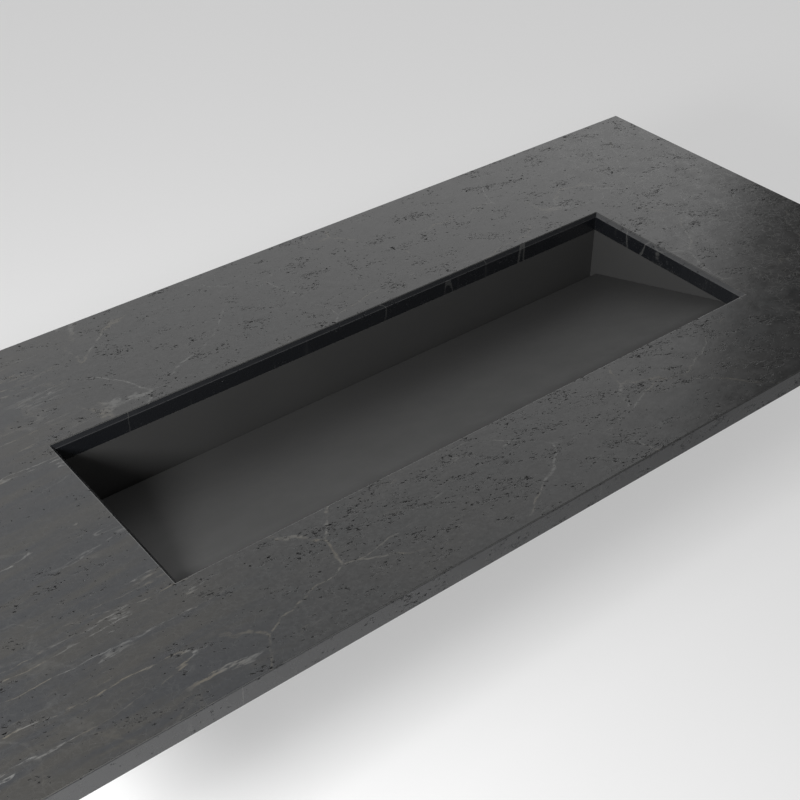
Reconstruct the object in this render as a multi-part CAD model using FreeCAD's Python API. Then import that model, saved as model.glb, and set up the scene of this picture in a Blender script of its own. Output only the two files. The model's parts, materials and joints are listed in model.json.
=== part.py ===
import FreeCAD, Part
import math
import os

# A stone washtop with an undermounted ramp basin. The water runs down a sloping, lift-out
# floor panel to a narrow slot along the back wall, into a hidden gutter with the waste in it.
#
# Frame: millimetres. X runs along the basin, Y runs to the wall, Z is up.
# The origin is on the lower rear edge of the stone, in the middle of its length, so the
# wall is the plane y = 0 and the underside of the stone is the plane z = 0.

# Stone top
top_length = 1600.0
top_depth = 750.0
top_thickness = 30.0
top_corner_radius = 4.0
top_edge_arris = 2.0
cutout_length = 1000.0
cutout_width = 314.0
cutout_bevel = 5.6
back_margin = 250.0
drip_groove_inset = 20.0
drip_groove_width = 6.0
drip_groove_depth = 5.0

# Stiffening rods bonded into the underside, one in front of the cut-out and one behind it
rod_width = 6.0
rod_height = 10.0
rod_overhang = 120.0
rod_share = 0.35

# Rubber strips under both ends of the stone, which bear on brackets or cabinet sides
bearing_width = 30.0
bearing_thickness = 3.0
bearing_inset = 50.0
bearing_end_inset = 60.0

# Basin shell
shell_wall = 8.0
flange_width = 28.0
flange_thickness = 10.0
flange_corner_radius = 10.0
ledge_depth = 16.0
ledge_fall = 0.3
rebate_width = 12.5
basin_depth = 130.0
gutter_width = 90.0
gutter_fall = 6.0
outer_edge_radius = 6.0
inner_edge_radius = 5.0
landing_radius = 11.0
landing_height = 2.0

# Sealant bead in a groove of the flange
bead_width = 10.0
bead_depth = 1.5
bead_inset = 8.0
bead_corner_radius = 2.0

# Ramp panel, with a level lip at the front
ramp_angle = 16.65
slot_width = 12.0
panel_thickness = 10.0
panel_rear_radius = 3.0
panel_edge_chamfer = 0.6
lip_length = 17.5
lip_thickness = 9.0
lip_bend_radius = 60.0
tray_gap = 14.0
side_gap = 0.4
panel_drip_width = 3.0
panel_drip_depth = 2.0
panel_drip_inset = 8.0

# Feet of the panel, their rubber bumpers and the rubber strip under the lip
foot_root_radius = 11.0
foot_tip_radius = 8.5
foot_spigot_radius = 4.0
foot_spigot_length = 6.0
foot_shares = (-0.38, -0.14, 0.14, 0.38)
bumper_radius = 8.0
bumper_thickness = 3.0
bumper_spigot_radius = 3.0
bumper_spigot_length = 6.0
strip_thickness = 2.0
strip_width = 9.0
strip_end_inset = 12.0

# Undermount clips
clip_shares = (-0.4, 0.0, 0.4)
clip_width = 25.0
clip_plate = 2.5
clip_foot_lap = 18.0
clip_reach = 62.0
clip_stud_distance = 41.0
clip_slot_length = 14.0
clip_bend_radius = 2.0
stud_radius = 3.0
stud_engagement = 12.0
stud_tail = 4.0
insert_radius = 5.0
insert_length = 14.0
washer_radius = 8.0
washer_thickness = 1.5
wing_hub_radius = 6.0
wing_hub_top_radius = 4.8
wing_hub_height = 7.0
wing_span = 28.0
wing_rise = 11.0
wing_plate = 2.0
wing_half_width = 4.5
wing_neck_share = 0.5
wing_corner_share = 0.7

# Waste fitting
thread_radius = 20.955
waste_bore_radius = 17.5
waste_flange_radius = 32.0
waste_flange_thickness = 2.0
waste_length = 52.0
waste_seat_radius = 23.0
waste_seat_depth = 1.0
waste_rim_chamfer = 0.9
waste_lead_in = 1.5
waste_hole_radius = 23.0
waste_boss_radius = 40.0
waste_boss_height = 4.0
recess_radius = 35.0
top_seal_radius = 31.0
top_seal_thickness = 1.5
bottom_seal_radius = 33.0
bottom_seal_thickness = 4.0
slip_ring_radius = 32.0
slip_ring_thickness = 2.0
nut_across_flats = 54.0
nut_height = 9.0
nut_chamfer = 1.5
tail_radius = 16.0
tail_bore_radius = 14.5
tail_length = 60.0
tail_screw_length = 12.0
tail_lead_in = 1.0

# Strainer
strainer_rim_radius = 22.6
strainer_rim_thickness = 1.0
strainer_cup_radius = 16.4
strainer_cup_depth = 20.0
strainer_wall = 0.8
strainer_cup_bend = 2.5
strainer_ray_count = 8
strainer_ray_width = 2.4
strainer_ray_start = 5.6
strainer_ray_end = 12.6
strainer_slot_count = 12
strainer_slot_width = 2.4
strainer_slot_share = 0.5
knob_stem_radius = 2.0
knob_radius = 6.5
knob_height = 6.0
knob_clearance = 7.0
rivet_radius = 3.6
rivet_thickness = 1.0

# Clearances and the overrun of every cutting shape
seat_gap = 0.2
front_gap = 0.5
fit_gap = 0.2
overrun = 5.0

# Places worked out from the sizes above
half_cutout = cutout_length / 2
basin_back = -back_margin
basin_front = basin_back - cutout_width
ramp_slope = math.tan(math.radians(ramp_angle))
lip_run = cutout_width - ledge_depth
bend_run = lip_run - lip_length
rebate_run = lip_run - rebate_width
panel_drop = panel_thickness / math.cos(math.radians(ramp_angle))
tray_drop = panel_drop + tray_gap
shell_drop = tray_drop + shell_wall / math.cos(math.radians(ramp_angle))
panel_length = cutout_length - 2 * side_gap
seat_level = -ledge_fall - lip_thickness
rebate_level = seat_level - seat_gap - strip_thickness
gutter_end_level = gutter_fall - basin_depth
landing_level = gutter_end_level + landing_height
waste_y = basin_back - gutter_width / 2
recess_level = -basin_depth - waste_flange_thickness - top_seal_thickness
shell_underside = -basin_depth - shell_wall
boss_underside = shell_underside - waste_boss_height
waste_end = -basin_depth - waste_length
slip_ring_top = boss_underside - bottom_seal_thickness
nut_top = slip_ring_top - slip_ring_thickness
tail_end = waste_end - tail_length
clip_top = -flange_thickness
washer_top = clip_top - clip_plate
wing_nut_top = washer_top - washer_thickness
up = FreeCAD.Vector(0, 0, 1)


def ramp_level(run):
    """Height of the ramp's sloping plane at a distance from the back wall."""
    return -ledge_fall - (bend_run - run) * ramp_slope


def at_run(run):
    """Y of a place at a distance in front of the back wall."""
    return basin_back - run


def box(x0, x1, y0, y1, z0, z1):
    return Part.makeBox(x1 - x0, y1 - y0, z1 - z0, FreeCAD.Vector(x0, y0, z0))


def cylinder(radius, z0, z1, x=0, y=0):
    return Part.makeCylinder(radius, z1 - z0, FreeCAD.Vector(x, y, z0), up)


def edges_near(shape, test):
    """Edges whose middle point and direction pass a test."""
    found = []
    for edge in shape.Edges:
        first, last = edge.ParameterRange
        middle = edge.valueAt((first + last) / 2)
        along = edge.tangentAt((first + last) / 2)
        if test(middle, along):
            found.append(edge)
    return found


def upright(middle, along):
    return abs(along.z) > abs(along.x) + abs(along.y)


def rounded_plate(x0, x1, y0, y1, z0, z1, radius):
    """A flat plate with its four upright edges rounded."""
    plate = box(x0, x1, y0, y1, z0, z1)
    return plate.makeFillet(radius, edges_near(plate, upright))


def prism_along_x(outline, x0, x1):
    """A profile of (y, z) points pulled along X."""
    points = [FreeCAD.Vector(x0, y, z) for y, z in outline]
    face = Part.Face(Part.makePolygon(points + points[:1]))
    return face.extrude(FreeCAD.Vector(x1 - x0, 0, 0))


def prism_along_y(outline, y0, y1):
    """A profile of (x, z) points pulled along Y."""
    points = [FreeCAD.Vector(x, y0, z) for x, z in outline]
    face = Part.Face(Part.makePolygon(points + points[:1]))
    return face.extrude(FreeCAD.Vector(0, y1 - y0, 0))


def turned(outline, x=0, y=0):
    """A profile of (radius, z) points turned about an upright axis."""
    points = [FreeCAD.Vector(x + radius, y, z) for radius, z in outline]
    face = Part.Face(Part.makePolygon(points + points[:1]))
    return face.revolve(FreeCAD.Vector(x, y, 0), up, 360)


def fused(shapes):
    return shapes[0].multiFuse(shapes[1:]).removeSplitter()


def frame_around_cutout(inset, width, z0, z1, radius):
    """A rectangular ring that follows the cut-out at a distance outside it."""
    outside = inset + width
    outer = rounded_plate(-half_cutout - outside, half_cutout + outside, basin_front - outside,
                          basin_back + outside, z0, z1, radius + width)
    inner = rounded_plate(-half_cutout - inset, half_cutout + inset, basin_front - inset,
                          basin_back + inset, z0, z1, radius)
    return outer.cut(inner)


def clip_places():
    """Where each clip stands: a point on the cut-out's edge and the turn of its outward side."""
    places = []
    for share in clip_shares:
        places.append((share * cutout_length, basin_back, 0))
        places.append((share * cutout_length, basin_front, 180))
    middle = (basin_back + basin_front) / 2
    places.append((-half_cutout, middle, 90))
    places.append((half_cutout, middle, -90))
    return places


def at_clips(piece):
    """Copies of a piece, modelled at the cut-out's edge with Y outward, at every clip."""
    copies = []
    for x, y, turn in clip_places():
        copy = piece.copy()
        copy.rotate(FreeCAD.Vector(0, 0, 0), up, turn)
        copy.translate(FreeCAD.Vector(x, y, 0))
        copies.append(copy)
    return copies


def rod_lines():
    """Y of the rod behind the cut-out and of the one in front, between the clips and the edge."""
    rear_start = basin_back + clip_reach
    front_start = basin_front - clip_reach
    groove = drip_groove_inset + drip_groove_width - top_depth
    return (rear_start - rod_share * rear_start,
            front_start + rod_share * (groove - front_start))


def rod_boxes():
    """The two stiffening rods, which also cut their own grooves."""
    end = half_cutout + rod_overhang
    rods = []
    for y in rod_lines():
        rods.append(box(-end, end, y - rod_width / 2, y + rod_width / 2, 0, rod_height))
    return rods


def bearing_strips():
    """A strip along the underside near each end of the stone."""
    strips = []
    for side in (-1, 1):
        x = side * (top_length / 2 - bearing_inset - bearing_width / 2)
        strips.append(box(x - bearing_width / 2, x + bearing_width / 2,
                          bearing_end_inset - top_depth, -bearing_end_inset,
                          -bearing_thickness, 0))
    return strips


def stone_blank():
    """The slab with eased edges. Its rear face stays square where it meets the wall."""
    half = top_length / 2
    slab = box(-half, half, -top_depth, 0, 0, top_thickness)
    front_corners = edges_near(slab, lambda p, d: upright(p, d) and p.y < -top_depth / 2)
    slab = slab.makeFillet(top_corner_radius, front_corners)
    top_edges = edges_near(slab, lambda p, d: abs(p.z - top_thickness) < top_edge_arris)
    slab = slab.makeFillet(top_edge_arris, top_edges)
    return slab


def stone_top():
    slab = stone_blank()
    slab = slab.cut(box(-half_cutout, half_cutout, basin_front, basin_back,
                        -overrun, top_thickness + overrun))
    rim = edges_near(slab, lambda p, d: abs(p.z - top_thickness) < cutout_bevel / 2
                     and abs(p.x) < half_cutout + cutout_bevel
                     and basin_front - cutout_bevel < p.y < basin_back + cutout_bevel)
    slab = slab.makeChamfer(cutout_bevel, rim)
    end = top_length / 2 - drip_groove_inset
    front = -top_depth + drip_groove_inset
    cuts = [box(-end, end, front, front + drip_groove_width, -overrun, drip_groove_depth)]
    cuts += rod_boxes()
    hole = cylinder(insert_radius + fit_gap, -overrun, insert_length + seat_gap, y=clip_stud_distance)
    cuts += at_clips(hole)
    return slab.cut(Part.makeCompound(cuts))


def shell_outside():
    """The outer form: the trough profile with closed ends, and the flange plate on top."""
    gutter_front = gutter_width + shell_wall
    shelf_run = rebate_run + shell_wall
    shelf_level = rebate_level - shell_wall
    outline = [
        (at_run(-shell_wall), 0),
        (at_run(-shell_wall), shell_underside),
        (at_run(gutter_front), shell_underside),
        (at_run(gutter_front), ramp_level(gutter_front) - shell_drop),
        (at_run(shelf_run), ramp_level(shelf_run) - shell_drop),
        (at_run(shelf_run), shelf_level),
        (at_run(lip_run + shell_wall), shelf_level),
        (at_run(lip_run + shell_wall), 0),
    ]
    end = half_cutout + shell_wall
    trough = prism_along_x(outline, -end, end)
    low_edges = edges_near(trough, lambda p, d: abs(p.z - shell_underside) < overrun)
    trough = trough.makeFillet(outer_edge_radius, low_edges)
    flange = rounded_plate(-half_cutout - flange_width, half_cutout + flange_width,
                           basin_front - flange_width, basin_back + flange_width,
                           -flange_thickness, 0, flange_corner_radius)
    return fused([trough, flange])


def shell_cavity():
    """The space inside the shell: ledge, rebate, sloping tray and gutter."""
    outline = [
        (at_run(cutout_width), overrun),
        (at_run(cutout_width), 0),
        (at_run(lip_run), -ledge_fall),
        (at_run(lip_run), rebate_level),
        (at_run(rebate_run), rebate_level),
        (at_run(rebate_run), ramp_level(rebate_run) - tray_drop),
        (at_run(gutter_width), ramp_level(gutter_width) - tray_drop),
        (at_run(gutter_width), gutter_end_level),
        (at_run(0), gutter_end_level),
        (at_run(0), overrun),
    ]
    space = prism_along_x(outline, -half_cutout, half_cutout)
    fall = prism_along_y([(-half_cutout, gutter_end_level), (0, -basin_depth),
                          (half_cutout, gutter_end_level)], at_run(gutter_width), at_run(0))
    space = fused([space, fall])
    around_floor = edges_near(space, lambda p, d: p.z < gutter_end_level + inner_edge_radius
                              and abs(p.x) > inner_edge_radius and not upright(p, d))
    return space.makeFillet(inner_edge_radius, around_floor)


def landing_places():
    return [share * panel_length for share in foot_shares]


def basin_shell():
    shell = shell_outside()
    boss = cylinder(waste_boss_radius, boss_underside, shell_underside + overrun, y=waste_y)
    shell = fused([shell, boss]).cut(shell_cavity())
    landings = []
    for x in landing_places():
        landings.append(cylinder(landing_radius, -basin_depth, landing_level, x, waste_y))
    shell = fused([shell] + landings)
    groove = frame_around_cutout(bead_inset, bead_width, -bead_depth, overrun, bead_corner_radius)
    recess = cylinder(recess_radius, recess_level, overrun - basin_depth, y=waste_y)
    hole = cylinder(waste_hole_radius, boss_underside - overrun, overrun - basin_depth, y=waste_y)
    return shell.cut(Part.makeCompound([groove, recess, hole]))


def flange_sealant():
    return frame_around_cutout(bead_inset, bead_width, -bead_depth, 0, bead_corner_radius)


def ramp_panel():
    """The sloping plate, bent to a level lip at the front, with a rounded rear edge."""
    front = lip_run - front_gap
    heel = bend_run + (panel_drop - lip_thickness) / ramp_slope
    drip = slot_width + panel_drip_inset
    outline = [
        (at_run(slot_width), ramp_level(slot_width)),
        (at_run(slot_width), ramp_level(slot_width) - panel_drop),
        (at_run(drip), ramp_level(drip) - panel_drop),
        (at_run(drip), ramp_level(drip) - panel_drop + panel_drip_depth),
        (at_run(drip + panel_drip_width), ramp_level(drip) - panel_drop + panel_drip_depth),
        (at_run(drip + panel_drip_width), ramp_level(drip + panel_drip_width) - panel_drop),
        (at_run(heel), seat_level),
        (at_run(front), seat_level),
        (at_run(front), -ledge_fall),
        (at_run(bend_run), -ledge_fall),
    ]
    panel = prism_along_x(outline, -panel_length / 2, panel_length / 2)
    bend = edges_near(panel, lambda p, d: abs(d.x) > 0.9 and abs(p.z + ledge_fall) < ledge_fall
                      and abs(p.y - at_run(bend_run)) < lip_length / 2)
    panel = panel.makeFillet(lip_bend_radius, bend)
    rear = edges_near(panel, lambda p, d: abs(d.x) > 0.9
                      and abs(p.y - at_run(slot_width)) < panel_edge_chamfer
                      and p.z > ramp_level(slot_width) - panel_drop / 2)
    panel = panel.makeFillet(panel_rear_radius, rear)
    ends = edges_near(panel, lambda p, d: abs(d.x) < 0.1 and abs(d.y) > 0.8
                      and p.z > min(ramp_level(at_run(0) - p.y), -ledge_fall) - panel_edge_chamfer)
    panel = panel.makeChamfer(panel_edge_chamfer, ends)
    holes = []
    for x in landing_places():
        top = foot_top() + foot_spigot_length + seat_gap
        holes.append(cylinder(foot_spigot_radius + fit_gap, boss_underside, top, x, waste_y))
        holes.append(cylinder(foot_root_radius + fit_gap, boss_underside, foot_top(), x, waste_y))
    return panel.cut(Part.makeCompound(holes))


def foot_top():
    """The flat seat cut into the panel's sloping underside for a foot."""
    return ramp_level((basin_back - waste_y) - foot_root_radius - fit_gap) - panel_drop


def foot_tip():
    return landing_level + seat_gap + bumper_thickness


def ramp_feet():
    feet = []
    for x in landing_places():
        post = turned([(0, foot_tip()), (foot_tip_radius, foot_tip()),
                       (foot_root_radius, foot_top()), (foot_spigot_radius, foot_top()),
                       (foot_spigot_radius, foot_top() + foot_spigot_length),
                       (0, foot_top() + foot_spigot_length)], x, waste_y)
        socket = cylinder(bumper_spigot_radius + fit_gap, foot_tip() - overrun,
                          foot_tip() + bumper_spigot_length + seat_gap, x, waste_y)
        feet.append(post.cut(socket))
    return feet


def ramp_bumpers():
    bumpers = []
    for x in landing_places():
        disc = cylinder(bumper_radius, landing_level + seat_gap, foot_tip(), x, waste_y)
        spigot = cylinder(bumper_spigot_radius, foot_tip(), foot_tip() + bumper_spigot_length,
                          x, waste_y)
        bumpers.append(fused([disc, spigot]))
    return bumpers


def ledge_strip():
    """The rubber strip on the rebate, which the panel's lip rests on."""
    end = half_cutout - strip_end_inset
    middle = lip_run - rebate_width / 2
    return box(-end, end, at_run(middle + strip_width / 2), at_run(middle - strip_width / 2),
               rebate_level, rebate_level + strip_thickness)


def clip_bracket():
    """A pressed bracket: a foot under the flange and a leg up to the stone."""
    inner = flange_width - clip_foot_lap
    outline = [
        (inner, washer_top),
        (inner, clip_top),
        (clip_reach - clip_plate, clip_top),
        (clip_reach - clip_plate, 0),
        (clip_reach, 0),
        (clip_reach, washer_top),
    ]
    bracket = prism_along_x(outline, -clip_width / 2, clip_width / 2)
    bend = edges_near(bracket, lambda p, d: abs(d.x) > 0.9 and abs(p.y - clip_reach) < clip_plate / 2
                      and abs(p.z - washer_top) < clip_plate / 2)
    bracket = bracket.makeFillet(clip_bend_radius, bend)
    corners = edges_near(bracket, lambda p, d: upright(p, d) and abs(p.y - inner) < clip_plate)
    bracket = bracket.makeFillet(2 * clip_bend_radius, corners)
    slot_radius = stud_radius + 2 * fit_gap
    straight = clip_slot_length / 2 - slot_radius
    cuts = [box(-slot_radius, slot_radius, clip_stud_distance - straight,
                clip_stud_distance + straight, washer_top - overrun, clip_top + overrun)]
    for y in (clip_stud_distance - straight, clip_stud_distance + straight):
        cuts.append(cylinder(slot_radius, washer_top - overrun, clip_top + overrun, y=y))
    return bracket.cut(fused(cuts))


def slab_insert():
    sleeve = cylinder(insert_radius, 0, insert_length, y=clip_stud_distance)
    return sleeve.cut(cylinder(stud_radius + fit_gap, -overrun, insert_length + overrun,
                               y=clip_stud_distance))


def clip_stud():
    low = wing_nut_top - wing_hub_height - stud_tail
    return cylinder(stud_radius, low, stud_engagement, y=clip_stud_distance)


def clip_washer():
    disc = cylinder(washer_radius, wing_nut_top, washer_top, y=clip_stud_distance)
    return disc.cut(cylinder(stud_radius + fit_gap, wing_nut_top - overrun, washer_top + overrun,
                             y=clip_stud_distance))


def wing_nut():
    """A cone-shaped hub with two flat wings that lean outward and have their corners cut off."""
    low = wing_nut_top - wing_hub_height
    hub = turned([(0, wing_nut_top), (wing_hub_radius, wing_nut_top),
                  (wing_hub_top_radius, low), (0, low)], y=clip_stud_distance)
    y0 = clip_stud_distance - wing_plate / 2
    parts = [hub]
    for side in (-1, 1):
        root = FreeCAD.Vector(side * wing_hub_top_radius / 2, y0, wing_nut_top - wing_hub_height / 2)
        end = FreeCAD.Vector(side * (wing_span / 2 - wing_half_width), y0,
                             wing_nut_top - wing_rise + wing_half_width / 2)
        along = (end - root).normalize() * wing_half_width
        across = FreeCAD.Vector(-along.z, 0, along.x)
        neck = across * wing_neck_share
        upper, lower = [[root + neck * turn, end + across * turn,
                         end + (across * turn + along) * wing_corner_share] for turn in (1, -1)]
        corners = upper + lower[::-1]
        outline = Part.Face(Part.makePolygon(corners + corners[:1]))
        parts.append(outline.extrude(FreeCAD.Vector(0, wing_plate, 0)))
    bore = cylinder(stud_radius + fit_gap, low - wing_rise, wing_nut_top + overrun,
                    y=clip_stud_distance)
    return fused(parts).cut(bore)


def waste_flange():
    """The waste body: a flange with a seat for the strainer, and the threaded tube below."""
    top = -basin_depth
    low = top - waste_flange_thickness
    return turned([
        (waste_bore_radius, waste_end),
        (thread_radius - waste_lead_in, waste_end),
        (thread_radius, waste_end + waste_lead_in),
        (thread_radius, low),
        (waste_flange_radius, low),
        (waste_flange_radius, top - waste_rim_chamfer),
        (waste_flange_radius - waste_rim_chamfer, top),
        (waste_seat_radius, top),
        (waste_seat_radius, top - waste_seat_depth),
        (waste_bore_radius, top - waste_seat_depth),
    ], y=waste_y)


def round_seal(radius, z0, z1):
    ring = cylinder(radius, z0, z1, y=waste_y)
    return ring.cut(cylinder(thread_radius + fit_gap, z0 - overrun, z1 + overrun, y=waste_y))


def waste_top_seal():
    return round_seal(top_seal_radius, recess_level, recess_level + top_seal_thickness)


def waste_bottom_seal():
    return round_seal(bottom_seal_radius, slip_ring_top, boss_underside)


def waste_slip_ring():
    return round_seal(slip_ring_radius, nut_top, slip_ring_top)


def waste_back_nut():
    """A flat hexagon nut with its corners turned down on both faces."""
    corner = nut_across_flats / 2 / math.cos(math.pi / 6)
    points = []
    for i in range(7):
        turn = math.pi / 3 * i
        points.append(FreeCAD.Vector(corner * math.cos(turn), waste_y + corner * math.sin(turn),
                                     nut_top - nut_height))
    hexagon = Part.Face(Part.makePolygon(points)).extrude(FreeCAD.Vector(0, 0, nut_height))
    low = nut_top - nut_height
    turned_down = turned([(0, low), (corner - nut_chamfer, low), (corner, low + nut_chamfer),
                          (corner, nut_top - nut_chamfer), (corner - nut_chamfer, nut_top),
                          (0, nut_top)], y=waste_y)
    nut = hexagon.common(turned_down)
    return nut.cut(cylinder(thread_radius + fit_gap, low - overrun, nut_top + overrun, y=waste_y))


def waste_tailpiece():
    """The plain tube below the waste body, screwed into its lower end."""
    screw_radius = waste_bore_radius - fit_gap / 2
    return turned([
        (tail_bore_radius, tail_end),
        (tail_radius - tail_lead_in, tail_end),
        (tail_radius, tail_end + tail_lead_in),
        (tail_radius, waste_end),
        (screw_radius, waste_end),
        (screw_radius, waste_end + tail_screw_length),
        (tail_bore_radius, waste_end + tail_screw_length),
    ], y=waste_y)


def strainer_seat():
    return -basin_depth - waste_seat_depth + seat_gap


def slots_around(count, width, start, end, low, high):
    """Radial slots from one radius to another, evenly spread around the waste's centre."""
    slots = []
    for i in range(count):
        slot = box(start, end, -width / 2, width / 2, low, high)
        slot.rotate(FreeCAD.Vector(0, 0, 0), up, 360 * (i + 0.5) / count)
        slot.translate(FreeCAD.Vector(0, waste_y, 0))
        slots.append(slot)
    return slots


def strainer_basket():
    """A pressed cup with a rim, slotted around and in the bottom."""
    rim_low = strainer_seat()
    rim_top = rim_low + strainer_rim_thickness
    bottom = rim_top - strainer_cup_depth
    inside = strainer_cup_radius - strainer_wall
    cup = turned([
        (0, bottom),
        (strainer_cup_radius - strainer_cup_bend, bottom),
        (strainer_cup_radius, bottom + strainer_cup_bend),
        (strainer_cup_radius, rim_low),
        (strainer_rim_radius, rim_low),
        (strainer_rim_radius, rim_top),
        (inside, rim_top),
        (inside, bottom + strainer_cup_bend + strainer_wall / 2),
        (inside - strainer_cup_bend + strainer_wall / 2, bottom + strainer_wall),
        (0, bottom + strainer_wall),
    ], y=waste_y)
    cuts = [cylinder(knob_stem_radius + fit_gap, bottom - overrun, bottom + overrun, y=waste_y)]
    cuts += slots_around(strainer_ray_count, strainer_ray_width, strainer_ray_start, strainer_ray_end,
                         bottom - overrun, bottom + overrun)
    height = strainer_cup_depth * strainer_slot_share
    middle = (rim_low + bottom + strainer_cup_bend) / 2
    cuts += slots_around(strainer_slot_count, strainer_slot_width, strainer_cup_radius - strainer_cup_bend,
                         strainer_cup_radius + overrun, middle - height / 2, middle + height / 2)
    return cup.cut(Part.makeCompound(cuts))


def strainer_knob():
    """A turned knob on a stem that is riveted through the bottom of the basket."""
    rim_top = strainer_seat() + strainer_rim_thickness
    bottom = rim_top - strainer_cup_depth
    head_low = rim_top + knob_clearance - knob_height / 2
    head_top = head_low + knob_height
    return turned([
        (0, bottom - rivet_thickness),
        (rivet_radius, bottom - rivet_thickness),
        (rivet_radius, bottom),
        (knob_stem_radius, bottom),
        (knob_stem_radius, bottom + strainer_wall),
        (rivet_radius, bottom + strainer_wall),
        (rivet_radius, bottom + strainer_wall + rivet_thickness),
        (knob_stem_radius, bottom + strainer_wall + rivet_thickness),
        (knob_stem_radius, head_low),
        (knob_radius - knob_height / 4, head_low),
        (knob_radius, head_low + knob_height / 4),
        (knob_radius, head_top - knob_height / 3),
        (knob_radius - knob_height / 3, head_top),
        (0, head_top),
    ], y=waste_y)


def pieces():
    return {
        "stone_top": [stone_top()],
        "rail_rods": rod_boxes(),
        "bearing_strips": bearing_strips(),
        "basin_shell": [basin_shell()],
        "flange_sealant": [flange_sealant()],
        "ledge_strip": [ledge_strip()],
        "ramp_panel": [ramp_panel()],
        "ramp_feet": ramp_feet(),
        "ramp_bumpers": ramp_bumpers(),
        "slab_inserts": at_clips(slab_insert()),
        "clip_studs": at_clips(clip_stud()),
        "clip_brackets": at_clips(clip_bracket()),
        "clip_washers": at_clips(clip_washer()),
        "clip_wing_nuts": at_clips(wing_nut()),
        "waste_flange": [waste_flange()],
        "waste_top_seal": [waste_top_seal()],
        "waste_bottom_seal": [waste_bottom_seal()],
        "waste_slip_ring": [waste_slip_ring()],
        "waste_back_nut": [waste_back_nut()],
        "waste_tailpiece": [waste_tailpiece()],
        "strainer_basket": [strainer_basket()],
        "strainer_knob": [strainer_knob()],
    }


def main():
    os.makedirs("parts", exist_ok=True)
    for name, shapes in pieces().items():
        solids = [solid for shape in shapes for solid in shape.Solids]
        shape = solids[0] if len(solids) == 1 else Part.makeCompound(solids)
        shape.exportStep("parts/" + name + ".step")
        print(name, len(solids), "solids", round(shape.Volume), "mm3", "valid", shape.isValid())


main()
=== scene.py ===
import json
import math

import bpy
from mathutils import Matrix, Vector

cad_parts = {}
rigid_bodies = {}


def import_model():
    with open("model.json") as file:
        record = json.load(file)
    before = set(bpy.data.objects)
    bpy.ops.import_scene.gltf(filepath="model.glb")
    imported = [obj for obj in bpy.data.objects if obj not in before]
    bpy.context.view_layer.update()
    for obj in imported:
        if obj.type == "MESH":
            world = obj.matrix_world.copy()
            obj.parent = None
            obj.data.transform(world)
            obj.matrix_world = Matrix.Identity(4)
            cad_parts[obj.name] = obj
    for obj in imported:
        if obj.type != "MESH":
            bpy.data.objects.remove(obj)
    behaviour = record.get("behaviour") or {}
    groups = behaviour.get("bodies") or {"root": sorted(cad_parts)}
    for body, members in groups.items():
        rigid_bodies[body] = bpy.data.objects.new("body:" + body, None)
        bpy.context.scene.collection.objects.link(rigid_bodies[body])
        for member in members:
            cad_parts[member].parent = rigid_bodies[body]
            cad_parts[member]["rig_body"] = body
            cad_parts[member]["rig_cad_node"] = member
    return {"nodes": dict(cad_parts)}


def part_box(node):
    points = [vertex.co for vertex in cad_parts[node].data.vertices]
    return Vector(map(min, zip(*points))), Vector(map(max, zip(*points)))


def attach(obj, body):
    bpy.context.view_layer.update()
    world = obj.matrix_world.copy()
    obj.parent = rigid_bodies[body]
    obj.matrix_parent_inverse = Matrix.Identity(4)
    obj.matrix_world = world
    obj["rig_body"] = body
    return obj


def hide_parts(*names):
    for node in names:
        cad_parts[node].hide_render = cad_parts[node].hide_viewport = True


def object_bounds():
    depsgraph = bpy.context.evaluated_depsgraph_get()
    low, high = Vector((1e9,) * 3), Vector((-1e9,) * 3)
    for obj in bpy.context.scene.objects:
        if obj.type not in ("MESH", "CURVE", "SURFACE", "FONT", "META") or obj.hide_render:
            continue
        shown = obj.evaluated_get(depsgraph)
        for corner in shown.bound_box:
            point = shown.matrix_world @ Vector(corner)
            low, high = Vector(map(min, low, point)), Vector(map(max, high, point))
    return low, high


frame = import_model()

bl_info = {
    "name": "Ramp Basin Washtop",
    "version": (1, 0, 0),
    "blender": (4, 5, 0),
    "location": "View3D > Sidebar > Washtop",
    "description": "Stone, basin, fittings and studio for a washtop with an undermounted ramp basin",
    "category": "Object",
}

# Places read from the frame, in metres
CAD_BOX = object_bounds()
STONE_LOW, STONE_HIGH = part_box("stone_top")
STRIPS_LOW, STRIPS_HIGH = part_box("bearing_strips")
LEDGE_LOW, LEDGE_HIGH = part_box("ledge_strip")
PANEL_LOW, PANEL_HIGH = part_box("ramp_panel")
FEET_LOW, FEET_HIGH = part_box("ramp_feet")
BUMPERS_LOW, BUMPERS_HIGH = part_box("ramp_bumpers")
STUDS_LOW, STUDS_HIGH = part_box("clip_studs")
WASHERS_LOW, WASHERS_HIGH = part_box("clip_washers")
WINGS_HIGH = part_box("clip_wing_nuts")[1]
BODY_LOW, BODY_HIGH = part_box("waste_flange")
TOP_SEAL_LOW, TOP_SEAL_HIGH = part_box("waste_top_seal")
BOTTOM_SEAL_LOW, BOTTOM_SEAL_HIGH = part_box("waste_bottom_seal")
RING_LOW, RING_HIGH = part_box("waste_slip_ring")
NUT_LOW, NUT_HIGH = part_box("waste_back_nut")
TAIL_LOW, TAIL_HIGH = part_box("waste_tailpiece")
KNOB_LOW, KNOB_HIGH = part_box("strainer_knob")
WASTE_PLACE = ((RING_LOW.x + RING_HIGH.x) / 2, (RING_LOW.y + RING_HIGH.y) / 2, 0.0)

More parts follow.
